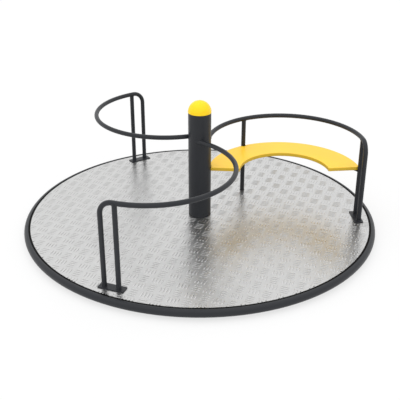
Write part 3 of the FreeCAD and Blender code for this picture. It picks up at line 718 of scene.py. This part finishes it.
def weld(path, closed):
    # rippled bead along a line of points
    path = np.asarray(path, float)
    if closed:
        path = np.vstack([path, path[:1]])
    lengths = np.concatenate([[0.0], np.cumsum(np.linalg.norm(np.diff(path, axis=0), axis=1))])
    ripples = max(3, round(lengths[-1] / bead["pitch"]))
    count = ripples * bead["samples"]
    travel = np.linspace(0, lengths[-1], count, endpoint=not closed)
    line = np.column_stack([np.interp(travel, lengths, path[:, axis]) for axis in range(3)])
    if closed:
        tangent = np.roll(line, -1, axis=0) - np.roll(line, 1, axis=0)
    else:
        tangent = np.gradient(line, axis=0)
    tangent = unit(tangent)
    aside = np.cross(tangent, np.array([0.0, 0.0, 1.0]))
    steep = np.linalg.norm(aside, axis=1) < bead["steep"]
    aside[steep] = np.cross(tangent[steep], np.array([1.0, 0.0, 0.0]))
    aside = unit(aside)
    above = np.cross(aside, tangent)
    phase = (np.arange(count) % bead["samples"]) / bead["samples"]
    swell = bead["radius"] * (1 - bead["ripple"] * phase ** bead["rippleCurve"])
    if not closed:
        swell[[0, -1]] *= bead["endSwell"]
    points, faces = [], []
    sides = bead["sides"]
    for place, one, two, size in zip(line, aside, above, swell):
        for side in range(sides):
            angle = 2 * math.pi * side / sides
            points.append(tuple(place + (one * math.cos(angle) + two * math.sin(angle)) * size))
    for ring in range(count if closed else count - 1):
        following = (ring + 1) % count
        for side in range(sides):
            after = (side + 1) % sides
            faces.append((ring * sides + side, following * sides + side,
                          following * sides + after, ring * sides + after))
    if not closed:
        faces.append(tuple(range(sides)))
        faces.append(tuple((count - 1) * sides + side for side in reversed(range(sides))))
    return points, faces


def circle(centre, radius, height, first=0.0, last=2 * math.pi, count=bead["ringPoints"]):
    angles = np.linspace(first, last, count, endpoint=last - first < 2 * math.pi - 1e-6)
    return np.column_stack([centre[0] + radius * np.cos(angles), centre[1] + radius * np.sin(angles),
                            np.full(count, height)])


def placed(path, angle):
    return np.column_stack([turned2d(path[:, :2], angle), path[:, 2]])


def railIntoColumn():
    # where the rail's tube runs into the column's side
    path = []
    for angle in np.linspace(0, 2 * math.pi, bead["ringPoints"], endpoint=False):
        reach = rail["arcRadius"] + rail["tube"] * math.cos(angle)
        across = ((rail["column"] ** 2 - rail["arcCentre"] ** 2 - reach ** 2)
                  / (2 * rail["arcCentre"] * reach))
        x, y = onArc(reach, math.acos(max(-1.0, across)))
        path.append((x, y, rail["height"] + rail["tube"] * math.sin(angle)))
    return np.array(path)


def legIntoRail(leg):
    # saddle line of an upright leg under the level rail
    path = []
    for x, y in circle(leg, rail["tube"], 0.0)[:, :2]:
        off = math.hypot(x - rail["arcCentre"], y) - rail["arcRadius"]
        path.append((x, y, rail["height"] - math.sqrt(max(0.0, rail["tube"] ** 2 - off ** 2))))
    return np.array(path)


def makeRailWelds():
    made = []
    for number, angle in enumerate(rail["turns"]):
        made.append(weld(placed(railIntoColumn(), angle), True))
        made.append(weld(placed(legIntoRail(innerLeg), angle), True))
        if number == rail["seatRail"]:
            made.append(weld(placed(legIntoRail(seatLeg), angle), True))
            made.append(weld(placed(circle(seatLeg, rail["tube"], foot["bottom"]), angle), True))
        for leg in (innerLeg, rail["outerLeg"]):
            made.append(weld(placed(circle(leg, rail["tube"], foot["top"]), angle), True))
    points, faces = joined(made)
    addPiece("railWelds", points, faces, "frame_coating", 60.0, weldCoating)


makeRailWelds()

bracket = {
    "bottom": 0.3269, "halfWidth": 0.013, "columnAngle": math.radians(18.0),
    "middleAngle": math.radians(306.0), "endAngle": math.radians(136.1),
}


def makeBracketWelds():
    atColumn = math.asin(bracket["halfWidth"] / rail["column"])
    joints = (((0.0, 0.0), rail["column"], bracket["columnAngle"], atColumn),
              (seatLeg, rail["tube"], bracket["middleAngle"], math.pi / 2),
              (innerLeg, rail["tube"], bracket["endAngle"], math.pi / 2))
    made = []
    for post, radius, facing, spread in joints:
        path = circle(post, radius, bracket["bottom"], facing - spread, facing + spread, bead["arcPoints"])
        made.append(weld(placed(path, rail["turns"][rail["seatRail"]]), False))
    points, faces = joined(made)
    addPiece("bracketWelds", points, faces, "frame_coating", 60.0, weldCoating)


makeBracketWelds()

arm = {
    "count": 8, "first": math.radians(34.3), "halfWidth": 0.020, "bottom": 0.0234, "top": 0.0534,
    "flange": 0.150, "flangeBottom": 0.0174, "rimCentre": 0.9788, "rimTube": 0.0212, "rimHeight": 0.0362,
    "topGap": 0.002, "flangeGap": 0.004, "rimPoints": 8,
}


def rimFace(height, side):
    # point of an arm's side on the rim tube's inner face
    depth = math.sqrt(arm["rimTube"] ** 2 - (height - arm["rimHeight"]) ** 2)
    reach = arm["rimCentre"] - depth
    return (math.sqrt(reach ** 2 - side ** 2), side, height)


def makeArmWelds():
    side, low, high = arm["halfWidth"], arm["bottom"], arm["top"] - arm["topGap"]
    heights = np.linspace(high, low, arm["rimPoints"])
    atRim = [rimFace(height, -side) for height in heights]
    atRim += [rimFace(low, across) for across in np.linspace(-side, side, arm["rimPoints"])[1:-1]]
    atRim += [rimFace(height, side) for height in heights[::-1]]
    onColumn = math.sqrt(rail["column"] ** 2 - side ** 2)
    onFlange = math.sqrt(arm["flange"] ** 2 - side ** 2) - arm["flangeGap"]
    made = [weld(circle((0.0, 0.0), rail["column"], arm["flangeBottom"]), True)]
    for number in range(arm["count"]):
        angle = arm["first"] + 2 * math.pi * number / arm["count"]
        made.append(weld(placed(np.array(atRim), angle), False))
        for across in (-side, side):
            corner = (onColumn, across, low)
            for end in ((onColumn, across, high), (onFlange, across, low)):
                made.append(weld(placed(np.array([corner, end]), angle), False))
    points, faces = joined(made)
    addPiece("armWelds", points, faces, "frame_coating", 60.0, weldCoating)


makeArmWelds()


# floor, light and camera

studio = {
    "floorSide": 40.0, "floorLevel": -0.0004, "floorColour": (0.22, 0.22, 0.22, 1.0), "floorGlow": 0.695,
    "floorGloss": 0.9, "weave": 300.0, "weaveStrength": 0.02, "weaveDepth": 0.0002,
    "sunPower": 1.05, "sunSpread": math.radians(120.0),
    "sunTilt": (math.radians(14.0), math.radians(-16.0), 0.0),
    "skyStops": [(0.0, (1.0, 1.0, 1.0)), (0.62, (1.0, 1.0, 1.0)), (0.78, (1.24, 1.24, 1.24)),
                 (1.0, (1.30, 1.30, 1.31))],
}


def makeStudio():
    half = studio["floorSide"] / 2
    mesh = bpy.data.meshes.new("floor")
    corners = ((-1, -1), (1, -1), (1, 1), (-1, 1))
    mesh.from_pydata([(x * half, y * half, studio["floorLevel"]) for x, y in corners], [], [(0, 1, 2, 3)])
    floor = bpy.data.objects.new("floor", mesh)
    bpy.context.scene.collection.objects.link(floor)
    paper = Finish("floorPaper")
    weave = paper.relief(paper.grain(studio["weave"], 3.0), studio["weaveStrength"], studio["weaveDepth"])
    mesh.materials.append(paper.skin(studio["floorColour"], studio["floorGloss"], weave, {
        "Specular IOR Level": 0.0, "Emission Color": (1.0, 1.0, 1.0, 1.0),
        "Emission Strength": studio["floorGlow"]}))

    world = bpy.data.worlds.new("studio")
    world.use_nodes = True
    bpy.context.scene.world = world
    sky = Shader(world.node_tree)
    direction = sky.node("ShaderNodeTexCoord", output="Generated")
    height = sky.node("ShaderNodeSeparateXYZ", {}, {0: direction}, "Z")
    colour = sky.node("ShaderNodeValToRGB", {"stops": studio["skyStops"]}, {0: height})
    glow = sky.node("ShaderNodeBackground", {}, {"Color": colour, "Strength": 1.0})
    sky.node("ShaderNodeOutputWorld", {}, {"Surface": glow}, None)

    light = bpy.data.lights.new("overhead", "SUN")
    light.energy = studio["sunPower"]
    light.angle = studio["sunSpread"]
    lamp = bpy.data.objects.new("overhead", light)
    lamp.rotation_euler = studio["sunTilt"]
    lamp.visible_glossy = False
    bpy.context.scene.collection.objects.link(lamp)


makeStudio()

lens = {
    "focal": 65.486, "sensor": 36.0, "place": (0.0017, -3.7713, 1.9825), "tilt": math.radians(63.967),
}


def makeCamera():
    data = bpy.data.cameras.new("camera")
    data.lens = lens["focal"]
    data.sensor_width = lens["sensor"]
    camera = bpy.data.objects.new("camera", data)
    camera.location = lens["place"]
    camera.rotation_euler = (lens["tilt"], 0.0, 0.0)
    bpy.context.scene.collection.objects.link(camera)
    bpy.context.scene.camera = camera
    bpy.context.scene.view_settings.view_transform = "Standard"


makeCamera()
print("studio and camera ready")
